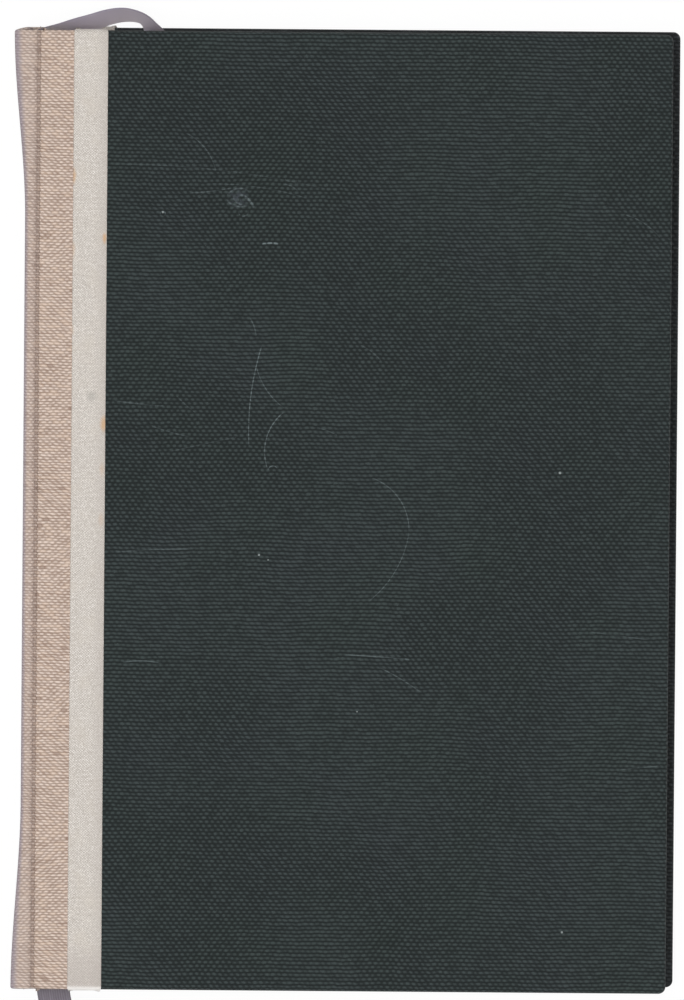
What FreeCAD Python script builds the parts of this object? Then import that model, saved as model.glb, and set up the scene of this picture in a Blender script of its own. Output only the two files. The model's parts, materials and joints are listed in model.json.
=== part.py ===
import FreeCAD
import Part

import math
import os

from FreeCAD import Vector

# A hardback book lying on its back cover, in millimetres. +X runs from the spine to the
# fore-edge, +Y from tail to head, +Z from the back cover to the front cover.
# The origin is the middle of the footprint, on the surface that the book lies on.

# Text block
page_height = 200.0
page_stack = 20.0
endpaper_thickness = 0.2
leaf_gap = 0.15  # air between a closed cover and the first leaf
fore_edge_hollow = 0.4

# Case
square = 3.0  # cover standing out past the pages at head and tail
fore_edge_square = 3.5
cover_width = 136.0  # joint line to fore-edge, over the cloth
board_thickness = 2.4
board_corner_radius = 1.0  # fore-edge corners, seen from above
board_edge_radius = 0.3  # worn edge all round the board
cloth_thickness = 0.5  # both book cloths are the same weight
turn_in = 14.0  # cloth folded over onto the inside of a board
linen_reach = 11.2  # joint line to where the two cloths meet
strip_start = 7.5  # joint line to the near edge of the trim strip
strip_width = 7.3
strip_thickness = 0.25
strip_turn_in = 2.6
pastedown_margin = 3.6  # cloth left showing round the pasted leaf

# Spine
spine_depth = 3.1  # joint line to the back of the spine, at mid-height
head_flare = 2.5  # how much further the cap stands out at the head
tail_flare = 1.9
flare_length = 40.0
spine_crown = 0.3
spine_corner_radius = 1.2
card_thickness = 0.4  # strip inside the hollow back
lining_thickness = 0.15
mull_thickness = 0.2
lining_gap = 2.0  # between the lining and a headband's tape
mull_reach = 26.0  # mull glued onto each board
hollow_gap = 0.1  # between the lining and the card at mid-height
shoulder_gap = 0.3  # between the lining and the card over the shoulders
lean = 1.8  # how far the worn book has slipped: the back cover stands out by this

# Joint between cover and spine
joint_half_width = 0.5  # joint line to the board edge, and to the shoulder
clearance = 0.05  # between pieces that meet at a joint or a fold

# Headbands
band_radius = 0.9
band_tape_height = 11.0
band_tape_thickness = 0.3

# Ribbon marker
ribbon_width = 7.0
ribbon_thickness = 0.25
ribbon_play = 0.1  # room round the ribbon between the leaves
ribbon_leaf_rise = 1.4  # where it lies between the leaves, above the middle one
ribbon_end_slant = 3.0  # the cut end runs this much further on one side

# Heights, from the surface up
book_thickness = page_stack + 2 * (
    endpaper_thickness + leaf_gap + endpaper_thickness
    + cloth_thickness + board_thickness + cloth_thickness + strip_thickness
)
middle = book_thickness / 2
cloth_top = book_thickness - strip_thickness
board_top = cloth_top - cloth_thickness
board_bottom = board_top - board_thickness
turn_in_bottom = board_bottom - cloth_thickness
pastedown_bottom = turn_in_bottom - endpaper_thickness
pages_top = middle + page_stack / 2
leaf_top = pages_top + endpaper_thickness
shoulder_top = (
    board_top - card_thickness - shoulder_gap - lining_thickness - mull_thickness
)
roll_radius = joint_half_width + board_edge_radius
roll_bottom = cloth_top - roll_radius - cloth_thickness

# Places along the book
half_pages = page_height / 2
half_height = half_pages + square
half_lining = half_pages - band_tape_height - lining_gap
pages_fore_edge = cover_width - fore_edge_square
block_spine_depth = (
    spine_depth - cloth_thickness - card_thickness - hollow_gap
    - lining_thickness - mull_thickness
)
block_corner_radius = min(0.6, block_spine_depth / 3)
hinge_x = -(cover_width + lean - spine_depth - head_flare + spine_crown) / 2
cover_end = half_height - cloth_thickness
far_away = 2 * page_height
overshoot = 1  # how far a cutting box goes past what it cuts


def slip(z):
    """How far the leaning book has moved towards the fore-edge at a height, between the two joints."""
    share = (roll_bottom - z) / (2 * roll_bottom - book_thickness)
    return lean * min(1.0, max(0.0, share))


def at(u, y, z):
    """A point of the text block or spine: u is measured from the joint line."""
    return Vector(hinge_x + u + slip(z), y, z)


def box(u0, u1, y0, y1, z0, z1):
    """A box of the front cover, with u measured from the joint line."""
    corner = Vector(hinge_x + u0, y0, z0)
    return Part.makeBox(u1 - u0, y1 - y0, z1 - z0, corner)


def outline(steps, y):
    """A closed wire at one y. A step is (u, z) for a line, or (u, z, u, z) for an arc through a point."""
    edges = []
    start = steps[-1][-2:]
    for step in steps:
        first = at(start[0], y, start[1])
        last = at(step[-2], y, step[-1])
        if len(step) == 4:
            edges.append(Part.Arc(first, at(step[0], y, step[1]), last).toShape())
        else:
            edges.append(Part.makeLine(first, last))
        start = step[-2:]
    return Part.Wire(edges)


def prism(steps, half_length):
    """The outline run along the book, the same on both sides of the middle."""
    face = Part.Face(outline(steps, -half_length))
    return face.extrude(Vector(0, 2 * half_length, 0))


def loft(steps_at, places):
    """A solid through the outlines that steps_at gives at each y."""
    return Part.makeLoft([outline(steps_at(y), y) for y in places], True, False)


def bend(centre_u, centre_z, radius, quarter_u, quarter_z):
    """The point halfway round a quarter arc, towards the given quarter."""
    reach = radius * math.sqrt(0.5)
    return centre_u + quarter_u * reach, centre_z + quarter_z * reach


def spine_path(depth, top, radius):
    """The steps round the back of a spine layer, from its front shoulder to its back one."""
    bottom = book_thickness - top
    back = -(depth - spine_crown)
    near = back + radius
    return [
        (near, top),
        (*bend(near, top - radius, radius, -1, 1), back, top - radius),
        (-depth, middle, back, bottom + radius),
        (*bend(near, bottom + radius, radius, -1, -1), near, bottom),
    ]


def turned_round(steps, start):
    """The same path run the other way, ending at start."""
    ends = [step[-2:] for step in steps]
    back = []
    for i in range(len(steps) - 1, 0, -1):
        back.append((*steps[i][:-2], *ends[i - 1]))
    return [ends[-1]] + back + [start]


def spine_layer(depth, top, radius, thickness, start):
    """The section of one layer wrapped round the spine, from start on one shoulder to the other."""
    outer = spine_path(depth, top, radius)
    inner = spine_path(depth - thickness, top - thickness, max(radius - thickness, 0.05))
    bottom = book_thickness - top
    return (
        [(start, top)]
        + outer
        + [(start, bottom), (start, bottom + thickness)]
        + turned_round(inner, (start, top - thickness))
    )


def flared_depth(y):
    """Depth of the case spine at a place along it: it stands out at both caps."""
    flare = head_flare if y > 0 else tail_flare
    share = max(0.0, 1 - (half_height - abs(y)) / flare_length)
    return spine_depth + flare * share * share * (3 - 2 * share)


def spine_places():
    """Where the sections of the case spine stand, closer together at the caps."""
    flat = half_height - flare_length
    one_side = [half_height - share * flare_length for share in (0.0, 0.3, 0.55, 0.8, 1.0)]
    one_side += [0.75 * flat, 0.35 * flat]
    return sorted([-y for y in one_side] + one_side)


def between(solid, y0, y1):
    """The stretch of a solid between two places along the book."""
    return solid.common(box(-far_away, far_away, y0, y1, -far_away, far_away))


def rounded_block(grow, start):
    """The front board's block, or the same grown by a layer's thickness, from start to the fore-edge."""
    size = box(
        start,
        cover_width - cloth_thickness + grow,
        -cover_end - grow,
        cover_end + grow,
        board_bottom - grow,
        board_top + grow,
    )
    upright = [
        e for e in size.Edges
        if abs(e.Vertexes[0].Z - e.Vertexes[1].Z) > board_thickness / 2
        and e.BoundBox.XMin > hinge_x + start + overshoot
    ]
    size = size.makeFillet(board_corner_radius + grow, upright)
    flat = [
        e for e in size.Edges
        if e.BoundBox.ZLength < 1e-4 and e.BoundBox.XMax > hinge_x + start + 1e-3
    ]
    return size.makeFillet(board_edge_radius + grow, flat)


def board():
    """Grey board, its edges a little worn, and rounded at the joint for the linen to roll over."""
    block = rounded_block(0, joint_half_width)
    joint_edges = [
        e for e in block.Edges
        if e.BoundBox.XMax < hinge_x + joint_half_width + 1e-3
        and e.BoundBox.YLength > half_height
    ]
    return block.makeFillet(board_edge_radius, joint_edges)


def window(u0, u1, fold):
    """The space inside the turn-ins on the inner side of the board."""
    half = half_height - fold
    return box(u0, u1, -half, half, pastedown_bottom - cloth_thickness, board_bottom)


def green_cloth(board_solid):
    """Cloth over the board, folded in at head, tail and fore-edge."""
    cover = rounded_block(cloth_thickness, -joint_half_width)
    right = box(linen_reach, far_away, -far_away, far_away, 0, far_away)
    inside = window(0, cover_width - cloth_thickness - turn_in, cloth_thickness + turn_in)
    return cover.common(right).cut(board_solid).cut(inside)


def joint_roll():
    """The linen where it rolls over the board's edge into the joint."""
    inner = board_edge_radius
    centre_z = cloth_top - roll_radius
    steps = [
        (clearance, roll_bottom),
        (joint_half_width, roll_bottom),
        (joint_half_width, centre_z),
        (*bend(roll_radius, centre_z, inner, -1, 1), roll_radius, board_top),
        (roll_radius, cloth_top),
        (*bend(roll_radius, centre_z, roll_radius - clearance, -1, 1), clearance, centre_z),
    ]
    return prism(steps, cover_end)


def joint_linen(board_solid):
    """Linen from the joint to the green cloth, folded in at head and tail."""
    cover = rounded_block(cloth_thickness, -joint_half_width)
    left = box(roll_radius, linen_reach, -far_away, far_away, 0, far_away)
    inside = window(0, linen_reach, cloth_thickness + turn_in)
    wrapped = cover.common(left).cut(board_solid).cut(inside)
    return wrapped.fuse(joint_roll()).removeSplitter()


def strip():
    """Narrow trim strip over the meeting of the two cloths, turned over at both ends."""
    cover = rounded_block(cloth_thickness, -joint_half_width)
    outside = rounded_block(cloth_thickness + strip_thickness, -joint_half_width)
    part = box(strip_start, strip_start + strip_width, -far_away, far_away, 0, far_away)
    inside = window(0, cover_width, strip_turn_in)
    return outside.common(part).cut(cover).cut(inside)


def mull_flap():
    """Open gauze from the spine, glued under the pasted leaf."""
    low, high = board_bottom - mull_thickness, board_bottom
    return box(joint_half_width, mull_reach, -half_lining, half_lining, low, high)


def pastedown(cloths, flap):
    """Pasted half of the endpaper. It follows the steps of the turn-ins and the mull, and turns up the board's edge."""
    half = half_height - pastedown_margin
    start = joint_half_width
    end = cover_width - pastedown_margin
    paper = box(start, end, -half, half, pastedown_bottom, board_bottom)
    for under in cloths + [flap]:
        paper = paper.cut(under)
    rim = cover_end - turn_in - endpaper_thickness
    fore_rim = cover_width - cloth_thickness - turn_in - endpaper_thickness
    over_mull = mull_reach + endpaper_thickness
    paper = paper.cut(box(
        over_mull, fore_rim, -rim, rim,
        pastedown_bottom - overshoot, board_bottom - endpaper_thickness,
    ))
    paper = paper.cut(box(
        start, over_mull, -rim, rim,
        pastedown_bottom - overshoot, board_bottom - mull_thickness - endpaper_thickness,
    ))
    leg = box(
        start - endpaper_thickness, start, -half, half,
        board_bottom - mull_thickness - endpaper_thickness, roll_bottom - clearance,
    )
    return paper.fuse(leg).removeSplitter()


def to_back(solid):
    """The back cover is the front one turned over, and slipped by the lean."""
    turned = solid.mirror(Vector(0, 0, middle), Vector(0, 0, 1))
    turned.translate(Vector(lean, 0, 0))
    return turned


def ribbon_slot():
    """The space that the flat ribbon keeps open between two leaves."""
    head, tail = ribbon_leaf_ends()
    along = (tail - head).normalize()
    across = Vector(-along.y, along.x, 0)
    half = ribbon_width / 2 + ribbon_play
    height = ribbon_thickness + 2 * ribbon_play
    first, last = head - along * 20, tail + along * 20
    corners = [
        first + across * half, last + across * half, last - across * half, first - across * half
    ]
    low = [p - Vector(0, 0, height / 2) for p in corners]
    face = Part.Face(Part.makePolygon(low + [low[0]]))
    return face.extrude(Vector(0, 0, height))


def text_block():
    """The sewn pages as one solid, with backed shoulders, and a slot where the ribbon lies."""
    pages_bottom = book_thickness - pages_top
    shoulder_bottom = book_thickness - shoulder_top
    steps = [
        (-joint_half_width, shoulder_top),
        *spine_path(block_spine_depth, shoulder_top, block_corner_radius),
        (-joint_half_width, shoulder_bottom),
        (-joint_half_width, pages_bottom),
        (pages_fore_edge, pages_bottom),
        (pages_fore_edge - fore_edge_hollow, middle, pages_fore_edge, pages_top),
        (-joint_half_width, pages_top),
    ]
    return prism(steps, half_pages).cut(ribbon_slot())


def flyleaf(top_side):
    """Free half of an endpaper, turned up the shoulder at the joint."""
    inner = -joint_half_width
    face = inner + endpaper_thickness
    levels = [pages_top, leaf_top, roll_bottom - clearance]
    if not top_side:
        levels = [book_thickness - z for z in levels]
    page, leaf, end = levels
    steps = [
        (inner, end), (face, end), (face, leaf),
        (pages_fore_edge, leaf), (pages_fore_edge, page), (inner, page),
    ]
    return prism(steps, half_pages)


def spine_mull():
    """Gauze glued round the sewn spine."""
    depth = block_spine_depth + mull_thickness
    top = shoulder_top + mull_thickness
    radius = block_corner_radius + mull_thickness
    start = -(joint_half_width + clearance)
    section = spine_layer(depth, top, radius, mull_thickness, start)
    return prism(section, half_lining)


def spine_lining():
    """Paper lining over the gauze."""
    inside = mull_thickness + lining_thickness
    section = spine_layer(
        block_spine_depth + inside,
        shoulder_top + inside,
        block_corner_radius + inside,
        lining_thickness,
        -(joint_half_width + clearance),
    )
    return prism(section, half_lining)


def spine_card():
    """Card strip inside the linen, which keeps the hollow back stiff."""
    start = -(roll_radius + clearance)

    def section(y):
        return spine_layer(
            flared_depth(y) - cloth_thickness,
            board_top,
            spine_corner_radius - cloth_thickness,
            card_thickness,
            start,
        )

    return between(loft(section, spine_places()), -cover_end, cover_end)


def linen_section(y):
    """Section of the spine linen, which rolls into the joint on both sides."""
    depth = flared_depth(y)
    centre_top = cloth_top - roll_radius
    centre_bottom = book_thickness - centre_top
    roll_top = book_thickness - roll_bottom
    low = book_thickness - cloth_top
    low_inner = low + cloth_thickness
    inner_radius = board_edge_radius
    outer = spine_path(depth, cloth_top, spine_corner_radius)
    inner = spine_path(
        depth - cloth_thickness, board_top, spine_corner_radius - cloth_thickness
    )
    front_roll = [
        (0.0, roll_bottom),
        (0.0, centre_top),
        (*bend(-roll_radius, centre_top, roll_radius, 1, 1), -roll_radius, cloth_top),
    ]
    back_roll = [
        (-roll_radius, low),
        (*bend(-roll_radius, centre_bottom, roll_radius, 1, -1), 0.0, centre_bottom),
        (0.0, roll_top),
        (-joint_half_width, roll_top),
        (-joint_half_width, centre_bottom),
        (
            *bend(-roll_radius, centre_bottom, inner_radius, 1, -1),
            -roll_radius, low_inner,
        ),
    ]
    close = [
        (
            *bend(-roll_radius, centre_top, inner_radius, 1, 1),
            -joint_half_width, centre_top,
        ),
        (-joint_half_width, roll_bottom),
    ]
    return front_roll + outer + back_roll + turned_round(inner, (-roll_radius, board_top)) + close


def back_slab(y, outer_inset, inner_inset):
    """Section of a layer on the inner side of the spine's back only, between two depths."""
    depth = flared_depth(y)
    edge = cloth_thickness + card_thickness + cloth_thickness
    top = cloth_top - edge
    bottom = book_thickness - top
    outer = -(depth - outer_inset)
    inner = -(depth - inner_inset)
    return [
        (outer + spine_crown, top),
        (outer, middle, outer + spine_crown, bottom),
        (inner + spine_crown, bottom),
        (inner, middle, inner + spine_crown, top),
    ]


def spine_linen():
    """Linen over the spine, folded round the ends of the card at both caps."""
    shell = loft(linen_section, spine_places())
    inside = cloth_thickness + card_thickness
    bite = cloth_thickness / 3
    caps = loft(
        lambda y: back_slab(y, cloth_thickness - bite, inside + cloth_thickness), spine_places()
    )
    folds = loft(
        lambda y: back_slab(y, inside + clearance, inside + cloth_thickness), spine_places()
    )
    fold_end = cover_end - turn_in
    for low, high in ((cover_end, half_height), (-half_height, -cover_end)):
        shell = shell.fuse(between(caps, low, high))
    for low, high in ((fold_end, half_height), (-half_height, -fold_end)):
        shell = shell.fuse(between(folds, low, high))
    return shell.removeSplitter()


def headband(side):
    """Sewn bead over the ends of the pages at the spine, with the tape that holds it."""
    depth = block_spine_depth
    low = at(0, 0, book_thickness - shoulder_top)
    high = at(0, 0, shoulder_top)
    centre = Vector(band_radius - depth - band_tape_thickness, side * (half_pages + band_radius), 0)
    bead = Part.makeCylinder(
        band_radius, (high - low).Length, low + centre, (high - low).normalize()
    )
    outer = depth + band_tape_thickness
    top = shoulder_top - block_corner_radius
    bottom = book_thickness - top
    steps = [
        (spine_crown - outer, top),
        (-outer, middle, spine_crown - outer, bottom),
        (spine_crown - depth, bottom),
        (-depth, middle, spine_crown - depth, top),
    ]
    far = side * (half_pages + band_radius)
    tape = Part.Face(outline(steps, far)).extrude(
        Vector(0, -side * (band_tape_height + band_radius), 0)
    )
    return bead.fuse(tape).removeSplitter()


# The ribbon's route. A station is (u, past, z, turn): past is how far it stands out past the
# end of the pages, and turn is how far, in degrees, its width has turned from upright, as on
# the spine, to flat, as between the leaves.
ribbon_spine_u = -(
    block_spine_depth + mull_thickness + lining_thickness + ribbon_play + ribbon_thickness / 2
)
arch_height = middle + 0.8
leaf_height = middle + ribbon_leaf_rise
ribbon_arch = [
    (ribbon_spine_u, -18.0, middle, 0),
    (ribbon_spine_u, -9.0, middle, 0),
    (ribbon_spine_u, -0.4, middle, 0),
    (-2.35, 1.2, arch_height, 0),
    (-1.8, 2.2, arch_height, 5),
    (-0.2, 2.7, arch_height, 10),
    (3.2, 2.7, arch_height, 24),
    (7.0, 3.3, arch_height, 36),
    (10.5, 4.3, arch_height, 34),
    (13.5, 5.5, arch_height, 30),
    (17.0, 6.15, arch_height, 27),
    (19.8, 5.8, arch_height, 22),
    (21.8, 5.0, arch_height, 20),
    (23.1, 3.0, arch_height, 28),
    (23.1, 1.5, leaf_height, 81),
    (23.1, 0.0, leaf_height, 90),
]
ribbon_tail = [
    (4.0, 0.0, leaf_height, 90),
    (4.2, 2.6, leaf_height, 90),
    (4.7, 6.0, 14.9, 90),
    (5.6, 10.2, 12.6, 90),
    (6.7, 14.4, 9.2, 90),
    (7.9, 18.4, 5.6, 90),
    (9.3, 22.6, 2.7, 90),
    (10.8, 27.2, 1.2, 90),
    (12.1, 32.2, 0.7, 90),
]


def ribbon_route():
    """Each station as its middle point and its turn, from the glued end to the cut end."""
    route = [(at(u, half_pages + past, z), turn) for u, past, z, turn in ribbon_arch]
    for u, past, z, turn in ribbon_tail:
        route.append((Vector(hinge_x + u, -half_pages - past, z), turn))
    return route


def ribbon_leaf_ends():
    """Where the ribbon goes in between the leaves at the head, and comes out at the tail."""
    route = ribbon_route()
    return route[len(ribbon_arch) - 1][0], route[len(ribbon_arch)][0]


def ribbon_stations():
    """Centre, width direction and face direction of the ribbon at each station of its route."""
    route = ribbon_route()
    points = [point for point, _ in route]
    upright = (at(0, 0, middle + 1) - at(0, 0, middle)).normalize()
    stations = []
    for i, (point, turn) in enumerate(route):
        along = (points[min(i + 1, len(points) - 1)] - points[max(i - 1, 0)]).normalize()
        if turn == 90:
            width = Vector(-along.y, along.x, 0).normalize()
        else:
            rise = upright if turn == 0 else Vector(0, 0, 1)
            level = rise.cross(along).normalize()
            rise = along.cross(level).normalize()
            angle = math.radians(turn)
            width = rise * math.cos(angle) + level * math.sin(angle)
        stations.append((point, width, along.cross(width).normalize()))
    return stations


def flat_face(*corners):
    """A flat face with these corners."""
    return Part.Face(Part.makePolygon([*corners, corners[0]]))


def ribbon_marker():
    """Woven ribbon, glued to the spine at the head, over the pages, down between the leaves and out at the tail."""
    half, thin = ribbon_width / 2, ribbon_thickness / 2
    stations = ribbon_stations()
    rings = []
    for i, (point, width, face) in enumerate(stations):
        slant = ribbon_end_slant / 2 if i == len(stations) - 1 else 0
        ring = []
        for across, through in ((1, 1), (1, -1), (-1, -1), (-1, 1)):
            corner = point + width * (across * half) + face * (through * thin)
            ring.append(corner + Vector(0, across * slant, 0))
        rings.append(ring)
    faces = [flat_face(*rings[0]), flat_face(*rings[-1])]
    for near, far in zip(rings, rings[1:]):
        for i, j in ((0, 1), (1, 2), (2, 3), (0, 3)):
            faces.append(flat_face(near[i], near[j], far[j]))
            faces.append(flat_face(near[i], far[j], far[i]))
    solid = Part.makeSolid(Part.makeShell(faces))
    points = [point for point, _, _ in stations]
    length = sum((q - p).Length for p, q in zip(points, points[1:]))
    print("ribbon length %.1f mm, section x length %.1f mm3, solid %.1f mm3" % (
        length, length * ribbon_width * ribbon_thickness, abs(solid.Volume)
    ))
    print("smallest bend radius of its middle line %.1f mm" % tightest_bend(points))
    return solid


def tightest_bend(points):
    """The smallest radius of a circle that touches two runs in a row, as far out as the shorter allows."""
    radii = []
    for a, b, c in zip(points, points[1:], points[2:]):
        turn = (b - a).getAngle(c - b)
        if turn > 1e-3:
            radii.append(min((b - a).Length, (c - b).Length) / 2 / math.tan(turn / 2))
    return min(radii)


def export(name, solid):
    """Writes one piece, after saying how sound it is."""
    solids = solid.Solids
    whole = solids[0] if len(solids) == 1 else Part.Compound(solids)
    print(
        "%-20s valid %s, %d solid, %.1f mm3, %d faces"
        % (name, whole.isValid(), len(solids), whole.Volume, len(whole.Faces))
    )
    whole.exportStep("parts/%s.step" % name)


def main():
    os.makedirs("parts", exist_ok=True)
    front = {"board": board()}
    front["cloth"] = green_cloth(front["board"])
    front["joint_linen"] = joint_linen(front["board"])
    front["strip"] = strip()
    front["mull_flap"] = mull_flap()
    front["pastedown"] = pastedown(
        [front["cloth"], front["joint_linen"]], front["mull_flap"]
    )
    for name, solid in front.items():
        export("front_" + name, solid)
        export("back_" + name, to_back(solid))
    export("text_block", text_block())
    export("front_flyleaf", flyleaf(True))
    export("back_flyleaf", flyleaf(False))
    export("spine_mull", spine_mull())
    export("spine_lining", spine_lining())
    export("spine_card", spine_card())
    export("spine_linen", spine_linen())
    export("head_band", headband(1))
    export("tail_band", headband(-1))
    export("ribbon_marker", ribbon_marker())


main()
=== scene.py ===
import json
import math

import bmesh
import bpy
import numpy as np
from mathutils import Matrix, Vector


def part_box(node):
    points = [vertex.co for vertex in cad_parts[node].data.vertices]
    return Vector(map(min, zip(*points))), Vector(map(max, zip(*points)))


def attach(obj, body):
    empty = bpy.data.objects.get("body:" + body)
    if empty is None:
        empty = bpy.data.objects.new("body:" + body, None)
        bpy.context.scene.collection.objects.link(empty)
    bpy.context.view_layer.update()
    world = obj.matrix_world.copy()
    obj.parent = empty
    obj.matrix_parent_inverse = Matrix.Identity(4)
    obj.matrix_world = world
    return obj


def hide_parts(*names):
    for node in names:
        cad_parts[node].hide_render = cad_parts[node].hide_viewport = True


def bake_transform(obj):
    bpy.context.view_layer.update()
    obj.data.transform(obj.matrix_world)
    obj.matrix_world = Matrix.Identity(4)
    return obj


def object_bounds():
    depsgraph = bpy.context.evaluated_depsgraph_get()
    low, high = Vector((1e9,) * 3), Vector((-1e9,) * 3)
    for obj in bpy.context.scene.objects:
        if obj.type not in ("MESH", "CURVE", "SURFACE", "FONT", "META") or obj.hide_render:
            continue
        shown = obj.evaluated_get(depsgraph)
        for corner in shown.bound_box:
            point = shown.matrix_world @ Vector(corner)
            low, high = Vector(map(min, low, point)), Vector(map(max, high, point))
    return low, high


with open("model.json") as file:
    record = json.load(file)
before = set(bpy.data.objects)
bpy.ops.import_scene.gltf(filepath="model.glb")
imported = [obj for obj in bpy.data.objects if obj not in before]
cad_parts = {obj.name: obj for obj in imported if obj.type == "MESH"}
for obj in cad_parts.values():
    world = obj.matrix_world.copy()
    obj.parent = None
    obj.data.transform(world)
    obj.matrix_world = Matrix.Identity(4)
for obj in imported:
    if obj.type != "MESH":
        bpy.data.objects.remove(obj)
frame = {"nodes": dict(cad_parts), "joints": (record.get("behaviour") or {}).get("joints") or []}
cad_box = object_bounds()
mm = 0.001


# The table, the light and the camera. The book lies on its back cover on a white table, and
# the camera looks down on the front cover through a very long lens, tilted a little from the
# head. So the lower cover shows past the head, and the book's lean shows it at the fore-edge.


class Wire:
    """A node's output, or a colour or vector made of one, that sums can be done with."""

    def __init__(self, finish, socket):
        self.finish = finish
        self.socket = socket

    def __add__(self, other):
        return self.finish.sum("ADD", self, other)

    def __sub__(self, other):
        return self.finish.sum("SUBTRACT", self, other)

    def __rsub__(self, other):
        return self.finish.sum("SUBTRACT", other, self)

    def __mul__(self, other):
        return self.finish.sum("MULTIPLY", self, other)

    def __truediv__(self, other):
        return self.finish.sum("DIVIDE", self, other)

    def __rtruediv__(self, other):
        return self.finish.sum("DIVIDE", other, self)

    __radd__ = __add__
    __rmul__ = __mul__


class Finish:
    """A material, or the world, while its nodes are being made."""

    def __init__(self, name, owner=None):
        self.owner = owner or bpy.data.materials.new(name)
        self.owner.use_nodes = True
        self.tree = self.owner.node_tree
        self.tree.nodes.clear()

    def node(self, kind, settings=None, *inputs, output=0, **named):
        """Adds a node: its settings first, then its sockets, by place or by name."""
        made = self.tree.nodes.new(kind)
        for key, value in (settings or {}).items():
            setattr(made, key, value)
        sockets = list(enumerate(inputs))
        sockets += [(name.replace("_", " "), value) for name, value in named.items()]
        for key, value in sockets:
            socket = made.inputs[key]
            if isinstance(value, Wire):
                self.tree.links.new(value.socket, socket)
            elif value is not None:
                socket.default_value = value
        return Wire(self, made.outputs[output]) if made.outputs else None

    def sum(self, operation, *inputs):
        """One step of arithmetic."""
        return self.node("ShaderNodeMath", {"operation": operation}, *inputs)

    def vector(self, operation, *inputs, output=0):
        """One step of arithmetic with places."""
        return self.node("ShaderNodeVectorMath", {"operation": operation}, *inputs, output=output)

    def point(self, x, y, z):
        """A place from its three parts."""
        return self.node("ShaderNodeCombineXYZ", None, x, y, z)

    def parts(self, vector):
        """The X, Y and Z of a vector."""
        first = self.node("ShaderNodeSeparateXYZ", None, vector)
        return [Wire(self, out) for out in first.socket.node.outputs]

    def mix(self, amount, first, second, how="MIX"):
        """One colour over another."""
        colours = [colour if isinstance(colour, Wire) else (*colour, 1) for colour in (first, second)]
        number_and_vector_sockets = [None] * 5
        return self.node(
            "ShaderNodeMix", {"data_type": "RGBA", "blend_type": how},
            amount, *number_and_vector_sockets, *colours, output=2,
        )

    def span(self, value, low, high, start=0.0, end=1.0):
        """value from low to high, eased into start to end."""
        return self.node(
            "ShaderNodeMapRange", {"interpolation_type": "SMOOTHSTEP"}, value, low, high, start, end
        )

    def noise(self, where, scale, detail=2.0, roughness=0.5):
        """Soft clouds, from 0 to 1 and mostly near a half."""
        return self.node(
            "ShaderNodeTexNoise", None, where, Scale=scale, Detail=detail, Roughness=roughness
        )

    def coat(self, height, depth, distance, **sockets):
        """Ends a material: one Principled shader, with a bump of this height."""
        bump = self.node("ShaderNodeBump", None, Height=height, Strength=depth, Distance=distance)
        shader = self.node("ShaderNodeBsdfPrincipled", None, Normal=bump, **sockets)
        self.node("ShaderNodeOutputMaterial", None, shader)
        return self.owner


def white_to_camera(finish, lit, emitter, amount):
    """Mixes plain white into what the camera, gloss and glass see of a surface."""
    direct, gloss, glass = (
        finish.node("ShaderNodeLightPath", output=ray)
        for ray in ("Is Camera Ray", "Is Glossy Ray", "Is Transmission Ray")
    )
    seen = finish.sum("MAXIMUM", finish.sum("MAXIMUM", direct, gloss), glass)
    return finish.node("ShaderNodeMixShader", None, seen * amount, lit, emitter)


def put(name, data):
    """An object with this data, in the scene."""
    made = bpy.data.objects.new(name, data)
    bpy.context.scene.collection.objects.link(made)
    return made


table_half = 20.0
table_drop = 0.02 * mm
table_white = 0.9
table_glow = 1.02
table_glow_share = 0.93
table_finish = Finish("white_table")
table_look = white_to_camera(
    table_finish,
    table_finish.node("ShaderNodeBsdfDiffuse", None, (table_white, table_white, table_white, 1)),
    table_finish.node("ShaderNodeEmission", None, (1, 1, 1, 1), table_glow),
    table_glow_share,
)
table_finish.node("ShaderNodeOutputMaterial", None, table_look)
table_mesh = bpy.data.meshes.new("white_table")
table_corners = [(-1, -1), (1, -1), (1, 1), (-1, 1)]
table_mesh.from_pydata(
    [(x * table_half, y * table_half, -table_drop) for x, y in table_corners], [], [(0, 1, 2, 3)]
)
table_mesh.materials.append(table_finish.owner)
table = put("white_table", table_mesh)

room_light = 0.32
room = bpy.data.worlds.new("room")
bpy.context.scene.world = room
room_finish = Finish("room", room)
room_look = white_to_camera(
    room_finish,
    room_finish.node("ShaderNodeBackground", None, (1, 1, 1, 1), room_light),
    room_finish.node("ShaderNodeBackground", None, (1, 1, 1, 1), 1.0),
    1.0,
)
room_finish.node("ShaderNodeOutputWorld", None, room_look)

# Each lamp's place and width in metres, and its power in watts.
lamps = {
    "top_lamp": ((-0.12, 0.10, 2.1), 0.6, 23.0),
    "window_lamp": ((-0.9, -1.1, 1.5), 0.9, 6.5),
    "fill_lamp": ((1.2, 0.5, 1.6), 1.4, 4.0),
}
for name, (place, width, power) in lamps.items():
    lamp = bpy.data.lights.new(name, "AREA")
    lamp.size = width
    lamp.energy = power
    holder = put(name, lamp)
    holder.location = place
    holder.rotation_euler = (-Vector(place)).to_track_quat("-Z", "Y").to_euler()
    holder.visible_camera = False

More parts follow.
